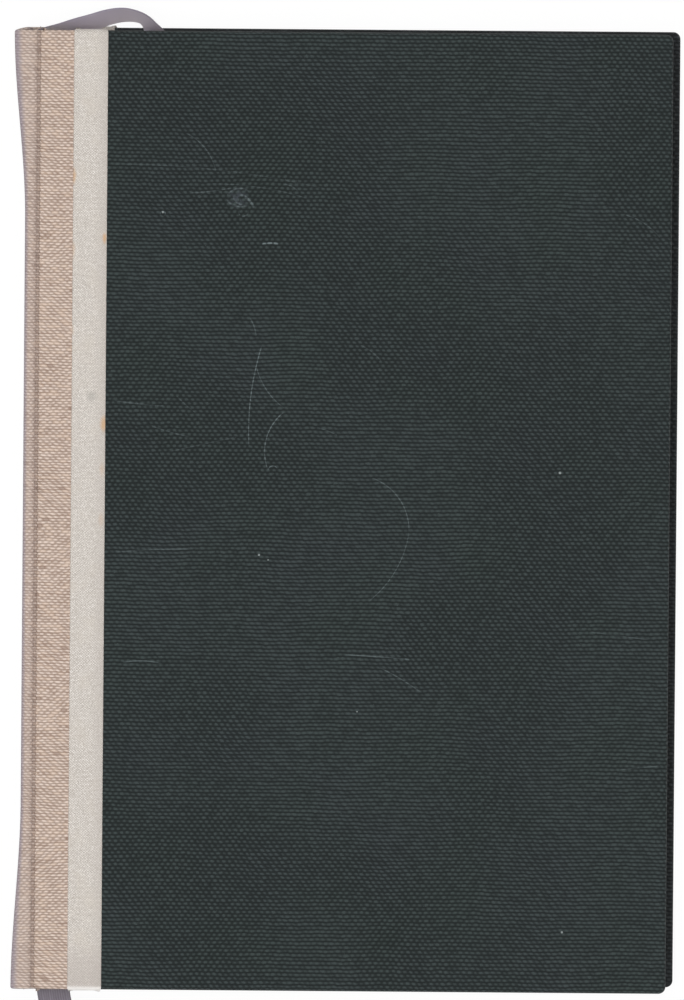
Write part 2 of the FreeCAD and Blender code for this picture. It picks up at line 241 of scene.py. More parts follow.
hinge = {joint["name"]: Vector(joint["pos_m"]) for joint in frame["joints"]}
joint_x = hinge["front_hinge"].x
thick = cad_box[1].z
photo_height = 214.6 * mm
photo_middle = (65.7 * mm, 2.65 * mm)
sensor = 36.0
lens = 1000.0
head_tilt = math.radians(2.3)
book_turn = math.radians(0.46)
camera_aim = Vector((joint_x + photo_middle[0], photo_middle[1], thick))
camera_data = bpy.data.cameras.new("camera")
camera_data.sensor_width = sensor
camera_data.lens = lens
camera_data.clip_end = 100.0
camera = put("camera", camera_data)
to_camera = Vector((0, math.sin(head_tilt), math.cos(head_tilt)))
camera.matrix_world = (
    Matrix.Translation(camera_aim + to_camera * photo_height * lens / sensor)
    @ Matrix.Rotation(-head_tilt, 4, "X")
    @ Matrix.Rotation(book_turn, 4, "Z")
)
bpy.context.scene.camera = camera
bpy.context.scene.view_settings.view_transform = "Standard"


# The ribbon marker. A 7 mm woven satin ribbon in grey mauve, glued to the back of the pages
# under the head band. It arches over the head, goes flat between two leaves, and its cut end
# lies on the table past the tail.


def shade(red, green, blue):
    """A colour as it looks on paper, 0 to 255, as the light values that a shader takes."""
    return tuple(((value / 255 + 0.055) / 1.055) ** 2.4 for value in (red, green, blue))


def make_piece(name, points, faces, material, body=None, smooth=True):
    """A mesh piece in the book's frame."""
    mesh = bpy.data.meshes.new(name)
    mesh.from_pydata([tuple(p) for p in points], [], faces)
    mesh.validate()
    mesh.materials.append(material)
    for polygon in mesh.polygons:
        polygon.use_smooth = smooth
    piece = put(name, mesh)
    if body:
        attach(piece, body)
    return piece


def stamp(piece, places):
    """Writes where each corner of each face lies on the flat cloth, in millimetres."""
    layer = piece.data.attributes.new("flat_place", "FLOAT_VECTOR", "CORNER")
    layer.data.foreach_set("vector", np.array(places, np.float32).ravel())


def stamp_points(piece, places):
    """The same, from one place for each point of the mesh."""
    stamp(piece, [places[loop.vertex_index] for loop in piece.data.loops])


def flat_place(finish):
    """Where a point lies on the flat cloth, and its parts: across, along and one number more."""
    where = finish.node("ShaderNodeAttribute", {"attribute_name": "flat_place"}, output="Vector")
    return (where, *finish.parts(where))


def tube(rings):
    """Points and faces of a tube through rings of points, as many in each, closed at both ends."""
    count = len(rings[0])
    points = [p for ring in rings for p in ring]
    faces = [tuple(range(count))[::-1], tuple(range(len(points) - count, len(points)))]
    for r in range(len(rings) - 1):
        for i in range(count):
            j = (i + 1) % count
            faces.append((r * count + i, r * count + j, (r + 1) * count + j, (r + 1) * count + i))
    return points, faces


def smooth_line(name, points):
    """Points read from the smooth NURBS line that has these control points."""
    data = bpy.data.curves.new(name, "CURVE")
    data.dimensions = "3D"
    data.resolution_u = 10
    spline = data.splines.new("NURBS")
    spline.points.add(len(points) - 1)
    for control, point in zip(spline.points, points):
        control.co = (*point, 1)
    spline.order_u = 3
    spline.use_endpoint_u = True
    holder = bpy.data.objects.new(name, data)
    mesh = bpy.data.meshes.new_from_object(holder)
    line = [v.co.copy() for v in mesh.vertices]
    bpy.data.meshes.remove(mesh)
    bpy.data.objects.remove(holder)
    bpy.data.curves.remove(data)
    return line


lean = hinge["back_hinge"].x - joint_x
fold_low = 26.85 * mm
page_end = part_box("text_block")[1].y
middle = thick / 2


def slip(z):
    """How far the leaning book has moved towards the fore-edge at a height."""
    share = (fold_low - z) / (2 * fold_low - thick)
    return lean * min(1.0, max(0.0, share))


def at(u, y, z):
    """A point of the pages or spine: u is measured from the front joint."""
    return Vector((joint_x + u + slip(z), y, z))


def heading(line, i):
    """The way that a line of points runs at one of them."""
    return (line[min(i + 1, len(line) - 1)] - line[max(i - 1, 0)]).normalized()


# Each station is (u, past, z, turn) in millimetres and degrees: past the end of the pages, and
# turned from upright, as on the spine, to lying, as between the leaves. The tail lies free, so
# the lean of the pages doesn't move it.
ribbon_width = 7.0 * mm
ribbon_thickness = 0.25 * mm
glued_u, glued_z = -2.325, 14.2
arch_z = 15.0
leaf_z = 15.6
head_leaf_u, tail_leaf_u = 23.1, 4.0
upright, lying = 0, 90
ribbon_head = [
    (glued_u, -18.0, glued_z, upright),
    (glued_u, -9.0, glued_z, upright),
    (glued_u, -0.4, glued_z, upright),
    (-2.35, 1.2, arch_z, upright),
    (-1.8, 2.2, arch_z, 5),
    (-0.2, 2.7, arch_z, 10),
    (3.2, 2.7, arch_z, 24),
    (7.0, 3.3, arch_z, 36),
    (10.5, 4.3, arch_z, 34),
    (13.5, 5.5, arch_z, 30),
    (17.0, 6.15, arch_z, 27),
    (19.8, 5.8, arch_z, 22),
    (21.8, 5.0, arch_z, 20),
    (head_leaf_u, 3.0, arch_z, 28),
    (head_leaf_u, 1.5, leaf_z, 81),
    (head_leaf_u, 0.0, leaf_z, lying),
    (22.97, -1.4, leaf_z, lying),
]
ribbon_tail = [
    (4.25, -2.6, leaf_z, lying),
    (tail_leaf_u, 0.0, leaf_z, lying),
    (4.2, 2.6, leaf_z, lying),
    (4.7, 6.0, 14.9, lying),
    (5.6, 10.2, 12.6, lying),
    (6.7, 14.4, 9.2, lying),
    (7.9, 18.4, 5.6, lying),
    (9.3, 22.6, 2.7, lying),
    (10.8, 27.2, 1.2, lying),
    (12.1, 32.2, 0.7, lying),
]
route = [(at(u * mm, page_end + past * mm, z * mm), turn) for u, past, z, turn in ribbon_head]
route += [
    (Vector((joint_x + u * mm, -page_end - past * mm, z * mm)), turn)
    for u, past, z, turn in ribbon_tail
]
spots = [spot for spot, _ in route]
edges = []
for i, (spot, turn) in enumerate(route):
    along = heading(spots, i)
    if turn == lying:
        width = Vector((-along.y, along.x, 0)).normalized()
    else:
        rise = at(0, 0, middle + mm) - at(0, 0, middle) if turn == upright else Vector((0, 0, 1))
        level = rise.cross(along).normalized()
        rise = along.cross(level).normalized()
        width = rise * math.cos(math.radians(turn)) + level * math.sin(math.radians(turn))
    edges.append(spot + width * ribbon_width / 2)
ribbon_path = smooth_line("ribbon_middle", spots)
ribbon_edge = smooth_line("ribbon_edge", edges)
ribbon_length = sum((b - a).length for a, b in zip(ribbon_path, ribbon_path[1:]))

ribbon_columns = 14
end_slant = 3.0 * mm
slant_length = 12.0 * mm
cup_depth = 0.12 * mm
cup_wave = 9.0 * mm
edge_thinning = 0.45
rings, ribbon_flats = [], []
gone = 0.0
for i, (spot, edge) in enumerate(zip(ribbon_path, ribbon_edge)):
    gone += (spot - ribbon_path[i - 1]).length if i else 0.0
    along = heading(ribbon_path, i)
    width = (edge - spot).normalized()
    face = along.cross(width).normalized()
    slant = max(0.0, 1 - (ribbon_length - gone) / slant_length) * end_slant / 2
    ring = []
    for side in (1, -1):
        for c in range(ribbon_columns + 1):
            share = (1 - 2 * c / ribbon_columns) * side
            half_thick = (1 - edge_thinning * abs(share) ** 8) * ribbon_thickness / 2
            cup = cup_depth * (share * share - 0.4) * math.sin(gone / cup_wave)
            ring.append(
                spot + width * (share * ribbon_width / 2) + face * (side * half_thick + cup)
                + Vector((0, share * slant, 0))
            )
            ribbon_flats.append((share * ribbon_width / 2 / mm, gone / mm, 0))
    rings.append(ring)
ribbon_points, ribbon_faces = tube(rings)

rib_pitch = 0.5
selvedge_width = 0.4
ribbon_dark, ribbon_pale = shade(95, 88, 98), shade(127, 120, 130)
# The arch's paler colour is painted light.
ribbon_arch_painted_light = shade(184, 176, 196)
ribbon_selvedge = shade(92, 86, 95)
satin = Finish("satin_ribbon")
_, across, along, _ = flat_place(satin)
rib = satin.sum("SINE", across * (2 * math.pi / rib_pitch)) * 0.5 + 0.5
threads = satin.noise(satin.point(across * 4.0, along * 0.2, 0.0), 1.0, 2.0, 0.6)
tone = rib * 0.3 + threads * 0.7
ribbon_look = satin.mix(satin.span(tone, 0.2, 0.8), ribbon_dark, ribbon_pale)
# Painted light: the arch over the head is painted paler, to stand in for the light that falls on it.
arch_start = satin.span(along, 20.0, 34.0, 0.5, 0.9)
arch_end = satin.span(along, 42.0, 51.0, 1.0, 0.0)
ribbon_look = satin.mix(arch_start * arch_end, ribbon_look, ribbon_arch_painted_light)
half_width = ribbon_width / 2 / mm
selvedge = satin.span(
    satin.sum("ABSOLUTE", across), half_width - selvedge_width, half_width - 0.05
)
ribbon_look = satin.mix(selvedge * 0.5, ribbon_look, ribbon_selvedge)
satin.coat(
    height=rib * 0.6 + threads * 0.4, depth=0.5, distance=0.05 * mm,
    Base_Color=ribbon_look, Roughness=0.42, Specular_IOR_Level=0.4, Anisotropic=0.4,
    Sheen_Weight=0.7, Sheen_Tint=(0.95, 0.91, 1.0, 1.0),
)
ribbon = make_piece(
    "ribbon_marker_satin", ribbon_points, ribbon_faces, satin.owner, "block",
)
stamp_points(ribbon, ribbon_flats)
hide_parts("ribbon_marker")


# The two boards. Grey binder's board, 2.4 mm thick, cut square with corners slightly worn. The
# cloth hides all of it but the edge in the joint.

board_dark, board_pale = shade(138, 130, 118), shade(172, 164, 150)
board_speck = shade(96, 88, 78)
greyboard = Finish("grey_board")
board_place = greyboard.node("ShaderNodeTexCoord", output="Object")
board_grain = greyboard.noise(board_place, 900.0, 5.0, 0.6)
board_fleck = greyboard.noise(board_place, 4000.0, 2.0, 0.5)
board_look = greyboard.mix(board_grain, board_dark, board_pale)
specks = greyboard.span(board_fleck, 0.6, 0.8) * 0.4
greyboard.coat(
    height=board_fleck, depth=0.5, distance=0.05 * mm,
    Base_Color=greyboard.mix(specks, board_look, board_speck),
    Roughness=0.9, Specular_IOR_Level=0.2,
)


def dress(node, material):
    """Gives a carried-over piece its material."""
    mesh = frame["nodes"][node].data
    mesh.materials.clear()
    mesh.materials.append(material)


for side in ("front", "back"):
    dress(side + "_board", greyboard.owner)


# The green canvas. A stout, plainly woven book cloth with thick weft rows, glued over each
# board and turned in at head, tail and fore-edge, with the corners mitred on the inner face.
# The front one has the scuffs, scratches and lint of use.


def weave(finish, across, along, pitch, wander, slant, leaning, dip=0.7):
    """A plain weave: its height, a number for each float of thread, and one for each row."""
    pitch_across, pitch_along = pitch
    drift = finish.noise(finish.point(across * 0.05, along * 0.05, 0.0), 1.0, 1.0) - 0.5
    ripple = finish.noise(finish.point(across * 0.5, along * 0.4, 7.0), 1.0, 1.0) - 0.5
    row_place = (along + drift * (7.0 * wander) + ripple * (2.6 * wander)) / pitch_along
    row = finish.sum("FLOOR", row_place)
    in_row = finish.sum("FRACT", row_place) - 0.5
    uneven = finish.noise(finish.point(across * 0.8, row * 7.31, 3.0), 1.0, 1.0) - 0.5
    every_other_row = finish.sum("FLOORED_MODULO", row, 2.0)
    float_place = (across + ripple * (1.5 * wander) + uneven * (3.2 * wander)) / (2 * pitch_across)
    float_place = float_place + every_other_row * 0.5 + in_row * (drift * (slant * 6) + leaning)
    float_number = finish.sum("FLOOR", float_place)
    in_float = finish.sum("ABSOLUTE", finish.sum("FRACT", float_place) - 0.5)
    chance = finish.node("ShaderNodeTexWhiteNoise", None, finish.point(float_number, row, 0.0))
    round_thread = finish.sum("MAXIMUM", 0.0, 1 - in_row * in_row * 4.8)
    top = finish.span(in_float, 0.07, 0.43, 1.0, 0.0)
    return round_thread * (1 - (1 - top) * dip), chance, uneven


def away_from(finish, where, x, y):
    """How far a point is from a place on the flat cloth, in millimetres."""
    return finish.vector("DISTANCE", where, (x, y, 0), output="Value")


def arc_mark(finish, where, first, through, last, half_width):
    """A fine curved line on the cover through three places, in millimetres."""
    (ax, ay), (bx, by), (cx, cy) = first, through, last
    area = 2 * (ax * (by - cy) + bx * (cy - ay) + cx * (ay - by))
    a2, b2, c2 = (x * x + y * y for x, y in (first, through, last))
    centre_x = (a2 * (by - cy) + b2 * (cy - ay) + c2 * (ay - by)) / area
    centre_y = (a2 * (cx - bx) + b2 * (ax - cx) + c2 * (bx - ax)) / area
    radius = math.dist(first, (centre_x, centre_y))
    off = finish.sum("ABSOLUTE", away_from(finish, where, centre_x, centre_y) - radius)
    line = finish.span(off, half_width * 0.4, half_width * 1.6, 1.0, 0.0)
    reach = max(math.dist(first, last), math.dist(first, through), math.dist(through, last)) / 2
    far = away_from(finish, where, (ax + cx) / 2, (ay + cy) / 2)
    return line * finish.span(far, reach * 0.82, reach * 1.04, 1.0, 0.0)


photo_size = (684, 1000)
photo_pixel = photo_height / photo_size[1]


def from_photo(x, y):
    """A place in the photograph's frame, as millimetres from the joint on the front cover."""
    right = (x - photo_size[0] / 2) * photo_pixel
    up = (photo_size[1] / 2 - y) * photo_pixel
    c, s = math.cos(book_turn), math.sin(book_turn)
    place_x = camera_aim.x + right * c - up * s
    place_y = camera_aim.y + right * s + up * c
    return (place_x - joint_x) / mm, place_y / mm


canvas_pitch = (0.63, 0.84)
front_dark, front_pale = (shade(17, 25, 23), shade(20, 25, 27)), (shade(56, 67, 64), shade(60, 67, 70))
# The back cover's colours are darker and more purple than the front's: painted shade on its rim that
# shows past the front cover.
back_shaded_dark, back_shaded_pale = (shade(17, 22, 22), shade(21, 21, 26)), (shade(52, 59, 58), shade(55, 57, 63))
scratch_colour = shade(112, 124, 126)
scuff_colour = shade(92, 98, 108)
lint_colour = shade(150, 158, 158)
dust_colour = shade(104, 114, 114)

# Each scratch is a curve through three places in the photograph's frame, with its half width in
# millimetres and its strength.
scratch_gain = 1.05
scratches = [
    ((249, 447), (251, 395), (262, 345), 0.10, 0.75),
    ((268, 470), (266, 440), (284, 412), 0.10, 0.75),
    ((256, 365), (268, 392), (284, 408), 0.09, 0.45),
    ((268, 470), (272, 476), (277, 468), 0.09, 0.6),
    ((168, 452), (195, 446), (236, 437), 0.08, 0.25),
    ((372, 478), (400, 500), (409, 532), 0.09, 0.55),
    ((409, 532), (396, 570), (368, 602), 0.09, 0.5),
    ((345, 655), (378, 657), (412, 660), 0.09, 0.55),
    ((380, 668), (402, 680), (420, 692), 0.09, 0.5),
    ((186, 133), (208, 152), (216, 172), 0.08, 0.4),
    ((110, 164), (220, 170), (330, 190), 0.09, 0.2),
    ((204, 184), (250, 186), (312, 200), 0.08, 0.25),
    ((115, 552), (150, 550), (192, 549), 0.10, 0.35),
    ((122, 663), (142, 661), (162, 664), 0.12, 0.4),
    ((262, 244), (270, 243), (279, 244), 0.16, 0.9),
    ((622, 214), (642, 222), (660, 238), 0.08, 0.35),
    ((590, 632), (618, 636), (650, 640), 0.08, 0.25),
    ((620, 770), (642, 768), (662, 766), 0.08, 0.35),
    ((318, 428), (328, 431), (338, 436), 0.08, 0.3),
    ((360, 345), (372, 352), (382, 362), 0.08, 0.3),
    ((176, 395), (186, 405), (196, 413), 0.08, 0.3),
    ((227, 195), (236, 189), (249, 191), 0.16, 0.5),
    ((240, 194), (248, 199), (254, 208), 0.24, 0.6),
    ((227, 200), (234, 205), (244, 206), 0.20, 0.5),
    ((233, 196), (238, 203), (250, 205), 0.18, 0.5),
    ((238, 212), (243, 216), (249, 212), 0.14, 0.4),
    ((190, 193), (212, 191), (232, 188), 0.11, 0.35),
    ((160, 213), (163, 211), (166, 214), 0.18, 0.5),
    ((283, 184), (291, 186), (298, 191), 0.12, 0.35),
    ((112, 400), (140, 404), (165, 406), 0.14, 0.35),
    ((150, 425), (170, 432), (190, 437), 0.11, 0.3),
    ((250, 318), (254, 326), (256, 336), 0.12, 0.4),
]
scuff_place = (238, 198)
# Each speck of lint is a place in the frame and a radius in millimetres.
lint = [
    (560, 473, 0.35), (562, 933, 0.3), (259, 555, 0.3), (163, 212, 0.3), (268, 560, 0.2),
    (357, 712, 0.2),
]


def wear(finish, look, where, thread):
    """Adds the front cover's scratches, its scuff and its lint."""
    broken = finish.span(finish.noise(where, 1.3, 2.0, 0.7), 0.28, 0.5)
    raised = finish.span(thread, 0.1, 0.6) * 0.7 + 0.3
    marks = None
    for first, through, last, half_width, strength in scratches:
        places = (from_photo(*place) for place in (first, through, last))
        mark = arc_mark(finish, where, *places, half_width) * (strength * scratch_gain)
        marks = mark if marks is None else finish.sum("MAXIMUM", marks, mark)
    look = finish.mix(marks * broken * raised, look, scratch_colour)
    rub = finish.noise(where, 0.9, 2.0, 0.7)
    near = finish.span(
        away_from(finish, where, *from_photo(*scuff_place)) + rub * 3.0, 1.8, 4.6, 1.0, 0.0
    )
    look = finish.mix(near * finish.span(rub, 0.35, 0.62) * 0.34, look, scuff_colour)
    for x, y, size in lint:
        speck = away_from(finish, where, *from_photo(x, y))
        look = finish.mix(finish.span(speck, size * 0.5, size, 0.85, 0.0), look, lint_colour)
    return look


def canvas(name, shaded_dyes, lit_dyes, worn):
    """The canvas's material: its dark colours paint the shade between the threads and its pale ones
    the light on them, two of each taking turns in patches of dye.
    """
    finish = Finish(name)
    where, across, along, _ = flat_place(finish)
    patch = finish.noise(where, 0.05, 2.0, 0.55)
    dip = finish.span(finish.noise(where, 0.021, 1.0), 0.4, 0.6, 0.75, 0.45)
    thread, chance, uneven = weave(
        finish, across, along, canvas_pitch, wander=0.13, slant=0.2, leaning=0.17, dip=dip
    )
    fuzz = finish.noise(finish.point(across * 3.4, along * 5.2, 0.0), 1.0, 2.0, 0.65)
    lit = thread * (chance * 0.46 + 0.72) + (fuzz - 0.5) * 0.62 + uneven * 0.35
    dark = finish.mix(patch, *shaded_dyes)
    pale = finish.mix(patch, *lit_dyes)
    look = finish.mix(finish.span(lit, 0.0, 1.05), dark, pale)
    if worn:
        look = wear(finish, look, where, thread)
    dust = finish.span(fuzz * chance, 0.60, 0.72) * 0.5
    return finish.coat(
        height=thread + fuzz * 0.25, depth=0.8, distance=0.2 * mm,
        Base_Color=finish.mix(dust, look, dust_colour),
        Roughness=0.8, Specular_IOR_Level=0.22, Sheen_Weight=0.06,
    )


canvas_worn = canvas("green_canvas_front", front_dark, front_pale, worn=True)
# The back cover's canvas is unworn, and darker with painted shade.
canvas_back_shaded = canvas("green_canvas_back", back_shaded_dark, back_shaded_pale, worn=False)

cloth_thick = 0.5 * mm
cloth_low, cloth_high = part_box("front_cloth")
edge_round = 0.8 * mm
corner_round = 1.5 * mm
turned_in = 14.0 * mm
cloth_squares = 3.4 * mm
shell_over = 6.0 * mm
mitre_cuts = (-0.5 * mm, -0.15 * mm, 0.15 * mm, 0.5 * mm)
hill_height = 0.05 * mm
mitre_rise = 0.22 * mm


def gentle(a, b):
    """Slow hills and hollows of a glued cloth, from -1 to 1."""
    return (
        math.sin(a * 61 + 1.3) * math.cos(b * 43 - 0.4) * 0.5
        + math.sin(a * 143 - b * 87 + 2.1) * 0.3
        + math.cos(a * 29 + b * 171) * 0.2
    )


def cut(bm, point, normal, clear=False):
    """Cuts all the faces along a plane, and may clear what lies in front of it."""
    bmesh.ops.bisect_plane(
        bm, geom=bm.verts[:] + bm.edges[:] + bm.faces[:], dist=1e-7,
        plane_co=point, plane_no=normal, clear_outer=clear,
    )


def rim_edges(bm, upright):
    """The box's edges to be rounded: its upright corners at the fore-edge, or its rims."""
    found = []
    for edge in bm.edges:
        a, b = (v.co for v in edge.verts)
        if upright:
            wanted = min(a.x, b.x) > cloth_low.x + mm and abs(a.z - b.z) > mm
        else:
            level = abs(a.z - b.z) < 1e-6 and max(a.x, b.x) > cloth_low.x
            wanted = level and not all(abs(f.normal.z) > 0.5 for f in edge.link_faces)
        if wanted:
            found.append(edge)
    return found


def canvas_shell():
    """The canvas as glued: a rounded box, open at the linen and inside the turn-ins."""
    bm = bmesh.new()
    bmesh.ops.create_cube(bm, size=1.0)
    low = Vector((cloth_low.x - shell_over, cloth_low.y, cloth_low.z))
    for v in bm.verts:
        v.co = Vector(low[i] + (v.co[i] + 0.5) * (cloth_high[i] - low[i]) for i in range(3))
    for upright, offset, segments in ((True, corner_round, 6), (False, edge_round, 5)):
        bmesh.ops.bevel(
            bm, geom=rim_edges(bm, upright), offset=offset, segments=segments,
            affect="EDGES", profile=0.5,
        )
    for i in range(1, int((cloth_high.x - cloth_low.x) / cloth_squares)):
        cut(bm, (cloth_low.x + i * cloth_squares, 0, 0), (1, 0, 0))
    rows = int(cloth_high.y / cloth_squares)
    for i in range(-rows + 1, rows):
        cut(bm, (0, i * cloth_squares, 0), (0, 1, 0))
    cut(bm, (cloth_low.x, 0, 0), (-1, 0, 0), clear=True)
    inner_x = cloth_high.x - turned_in
    inner_y = cloth_high.y - turned_in
    cut(bm, (inner_x, 0, 0), (1, 0, 0))
    for side in (1, -1):
        cut(bm, (0, side * inner_y, 0), (0, 1, 0))
        for offset in mitre_cuts:
            cut(bm, (cloth_high.x + offset, side * cloth_high.y, 0), (1, -side, 0))
    inside = []
    for f in bm.faces:
        c = f.calc_center_median()
        if f.normal.z < -0.9 and c.x < inner_x and abs(c.y) < inner_y:
            inside.append(f)
    bmesh.ops.delete(bm, geom=inside, context="FACES")
    half_way = (cloth_low.z + cloth_high.z) / 2
    for v in bm.verts:
        from_fore = cloth_high.x - v.co.x
        from_end = cloth_high.y - abs(v.co.y)
        from_edge = min(from_fore, from_end)
        if v.co.z > half_way:
            v.co.z += hill_height * gentle(v.co.x, v.co.y) * min(1.0, from_edge / (4 * mm))
        elif from_edge > 1.2 * mm and abs(from_fore - from_end) / math.sqrt(2) < 0.2 * mm:
            v.co.z += mitre_rise
    bmesh.ops.recalc_face_normals(bm, faces=bm.faces[:])
    return bm


def thicken(piece, thickness, rim=True):
    """Gives a sheet its thickness, on its inner side."""
    solid = piece.modifiers.new("thickness", "SOLIDIFY")
    solid.use_rim = rim
    solid.thickness = thickness
    solid.offset = -1
    bpy.context.view_layer.update()
    dressed = piece.evaluated_get(bpy.context.evaluated_depsgraph_get())
    made = bpy.data.meshes.new_from_object(dressed)
    old = piece.data
    piece.modifiers.clear()
    piece.data = made
    made.name = piece.name
    bpy.data.meshes.remove(old)
    return piece


def canvas_places(mesh):
    """Where each corner of the wrapped canvas lies on the flat cloth."""
    places = []
    for polygon in mesh.polygons:
        n, c = polygon.normal, polygon.center
        nearer_fore = cloth_high.x - c.x < cloth_high.y - abs(c.y)
        fore = abs(n.x) > abs(n.y) if abs(n.z) < 0.95 else nearer_fore
        wrapped = abs(n.z) < 0.995 or n.z < 0
        side = 1 if c.y > 0 else -1
        for index in polygon.vertices:
            v = mesh.vertices[index].co
            down = cloth_high.z - v.z if wrapped else 0.0
            a = v.x + (down if fore else 0.0)
            b = v.y + (0.0 if fore else side * down)
            places.append(((a - joint_x) / mm, b / mm, 0.0))
    return places


shell = canvas_shell()
front_mesh = bpy.data.meshes.new("front_canvas")
shell.to_mesh(front_mesh)
shell.free()
front_mesh.materials.append(canvas_worn)
front_canvas = put("front_canvas", front_mesh)
thicken(front_canvas, cloth_thick)
for polygon in front_canvas.data.polygons:
    polygon.use_smooth = True
stamp(front_canvas, canvas_places(front_canvas.data))

# The back cover's cloth is the front one's turned over, and moved on by the lean.
back_mesh = front_canvas.data.copy()
back_mesh.name = "back_canvas"
back_mesh.transform(Matrix(((1, 0, 0, lean), (0, 1, 0, 0), (0, 0, -1, thick), (0, 0, 0, 1))))
back_mesh.flip_normals()
back_mesh.materials.clear()
back_mesh.materials.append(canvas_back_shaded)
back_canvas = put("back_canvas", back_mesh)
for side, piece in (("front", front_canvas), ("back", back_canvas)):
    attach(piece, side + "_cover")
    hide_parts(side + "_cloth")


# The linen. One piece of natural, slubby linen covers the spine, dips into both joints and
# runs a little way onto the boards. It is turned in over the boards at head and tail, and
# round the ends of the spine card at both caps.

linen_pitch = (0.69, 0.60)
linen_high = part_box("front_joint_linen")[1]
case_end = linen_high.y
linen_top = linen_high.z
spine_depth = 3.1 * mm
cap_flare = {1: 2.5 * mm, -1: 1.9 * mm}
flare_length = 40.0 * mm
spine_crown = 0.3 * mm
spine_round = 1.25 * mm

# The groove, as (from the joint, below the top) in millimetres, and the rounding of its lip.
lip_u, lip_round = 0.70 * mm, 0.34 * mm
board_run = (11.2, 9.5, 7.5, 5.5, 3.5, 2.2, 1.4, 1.0)
groove = [
    (0.26, 0.62), (0.12, 0.78), (-0.06, 0.80), (-0.26, 0.68), (-0.44, 0.5), (-0.64, 0.32),
    (-0.86, 0.16), (-1.08, 0.06), (-1.3, 0.01),
]
board_from, joint_to, card_from = 1.6 * mm, 0.3 * mm, -1.0 * mm
board_fold, joint_fold, card_fold = 3.4 * mm, 1.0 * mm, 1.35 * mm
linen_end_round = 0.5 * mm


def eased(share):
    """A share from 0 to 1, with a slow start and a slow end."""
    return share * share * (3 - 2 * share)


def flared_depth(y):
    """How deep the spine is at a place along it: it stands out at both caps."""
    share = max(0.0, 1 - (case_end - abs(y)) / flare_length)
    return spine_depth + cap_flare[1 if y > 0 else -1] * eased(share)


def arc_points(cx, cz, radius, start, end, count):
    """Points on an arc, from one angle to another, in degrees."""
    angles = [math.radians(start + (end - start) * i / count) for i in range(count + 1)]
    return [(cx + radius * math.cos(a), cz + radius * math.sin(a)) for a in angles]


def linen_profile(y):
    """The linen's outer line at one place along the book, from the board to mid-spine."""
    back_line = -(flared_depth(y) - spine_crown)
    near = back_line + spine_round
    bottom = linen_top - spine_round
    line = [(u * mm, linen_top) for u in board_run]
    line += arc_points(lip_u, linen_top - lip_round, lip_round, 90, 178, 5)
    line += [(u * mm, linen_top - drop * mm) for u, drop in groove]
    start = groove[-1][0] * mm
    line += [(start + (near - start) * k / 3, linen_top) for k in (1, 2)]
    line += arc_points(near, bottom, spine_round, 90, 180, 7)
    for k in range(1, 10):
        z = bottom + (middle - bottom) * k / 9
        reach = (z - middle) / (bottom - middle)
        line.append((back_line - spine_crown * (1 - reach * reach), z))
    return line


def fold_depth(u):
    """How thick the case is at the fold of its ends: the board, the joint or the spine card."""
    if u > board_from:
        return board_fold
    if u > joint_to:
        return joint_fold + (board_fold - joint_fold) * eased((u - joint_to) / (board_from - joint_to))
    return joint_fold if u > card_from else card_fold


def wrapped_sheet(profile, depth_at, place, rows, fold_round, fold_back, end):
    """A sheet with the given cross line, folded over both ends: grid points and flat places."""
    base = end - fold_round
    # Each station of the fold is its y, the y at which its cross line is read, whether it is past
    # the fold's middle, its share of that half, and the way gone since the flat part.
    fold = []
    for i in range(1, 7):
        a = math.radians(15 * i)
        fold.append((base + fold_round * math.sin(a), end, False, 1 - math.cos(a), fold_round * a))
    for i in range(1, 7):
        a = math.radians(15 * i)
        fold.append((base + fold_round * math.cos(a), end, True, math.sin(a), fold_round * (a + 1.6)))
    for i in range(1, 6):
        y = base - (fold_back - fold_round) * i / 5
        fold.append((y, y, True, 1.0, fold_round * 3.2 + base - y))
    stations = [(-y, -read, past, share, -(base + gone)) for y, read, past, share, gone in fold[::-1]]
    for i in range(rows + 1):
        y = base * (2 * i / rows - 1)
        stations.append((y, y, False, 0.0, y))
    stations += [(y, read, past, share, base + gone) for y, read, past, share, gone in fold]

    grid, flats = [], []
    for y, read, past, share, flat_y in stations:
        section = profile(read)
        line, flat_line = [], []
        run = 0.0
        for i, (u, z) in enumerate(section):
            before = section[max(i - 1, 0)]
            after = section[min(i + 1, len(section) - 1)]
            run += math.dist((u, z), before)
            du, dz = after[0] - before[0], after[1] - before[1]
            step = math.hypot(du, dz)
            full = depth_at(u)
            turn_round = min(fold_round, full / 2)
            deep = full - turn_round * (1 - share) if past else turn_round * share
            wall = full - 2 * turn_round if past else 0.0
            line.append(place(u - deep * dz / step, y, z + deep * du / step))
            from_back = 1 - u / section[-1][0]
            flat_line.append((run / mm, (flat_y + math.copysign(wall, y)) / mm, from_back))
        grid.append(line)
        flats.append(flat_line)
    return grid, flats


def sheet_piece(name, grid, flats, material, thickness, flip=False, rim=True):
    """A piece from a grid of points, thickened on its inner side."""
    rows, columns = len(grid), len(grid[0])
    faces = []
    for r in range(rows - 1):
        for c in range(columns - 1):
            a = r * columns + c
            quad = (a, a + 1, a + columns + 1, a + columns)
            faces.append(quad if flip else quad[::-1])
    piece = make_piece(name, [p for line in grid for p in line], faces, material)
    stamp_points(piece, [place for line in flats for place in line])
    return thicken(piece, thickness, rim)


linen_dark, linen_pale = shade(158, 134, 119), shade(234, 216, 204)
linen_warm = shade(212, 184, 160)
linen_fleck = shade(112, 84, 74)
linen_spine_side_shade = shade(188, 174, 170)
linen_rolled = shade(206, 192, 184)
rolled_shadow = (0.62, 0.64, 0.80)
handled_soil = (0.72, 0.70, 0.68)
groove_painted_shade = shade(112, 98, 94)
groove_run = 11.75


